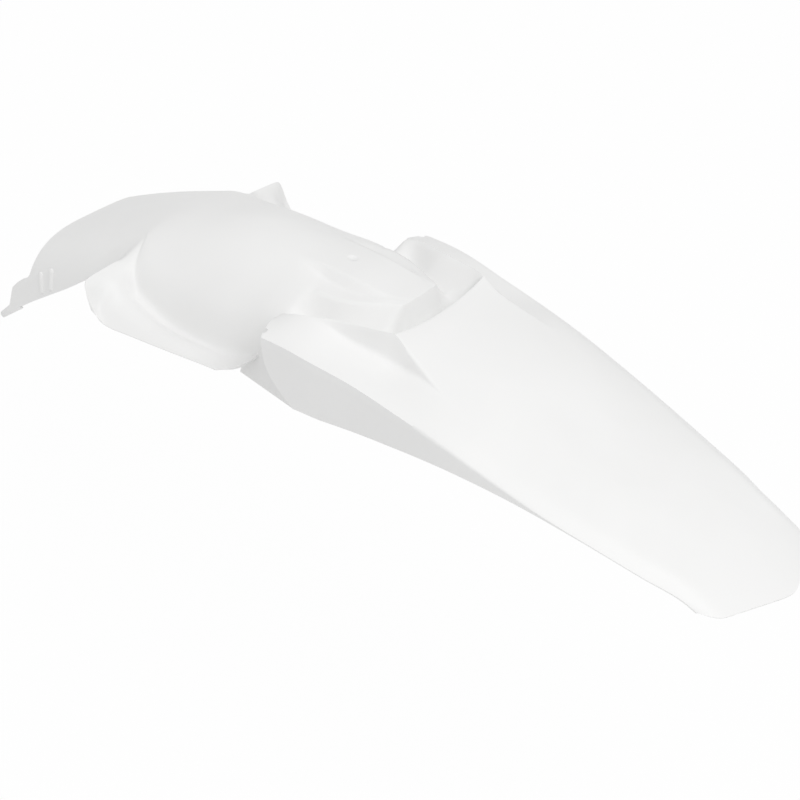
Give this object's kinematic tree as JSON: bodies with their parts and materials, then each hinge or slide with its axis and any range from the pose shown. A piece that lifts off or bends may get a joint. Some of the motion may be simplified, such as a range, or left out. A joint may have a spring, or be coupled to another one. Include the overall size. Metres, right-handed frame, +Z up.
{
  "type": "motorcycle rear fender",
  "caption": "One-piece moulded rear fender for an off-road motorcycle: tapering tail, raised collar behind the seat land, and an arch over the wheel with side flaps.",
  "frame": {"origin": "midway between the two subframe bolt holes, level with the tops of their pads", "axes": "+X rearwards along the tail, +Y across to the rider's right, +Z up along the bolts; the tail's top is level"},
  "size_m": [0.695, 0.254, 0.217],
  "materials": {
    "white_plastic": "satin"
  },
  "bodies": {
    "root": {"fender": "white_plastic"}
  },
  "joints": []
}
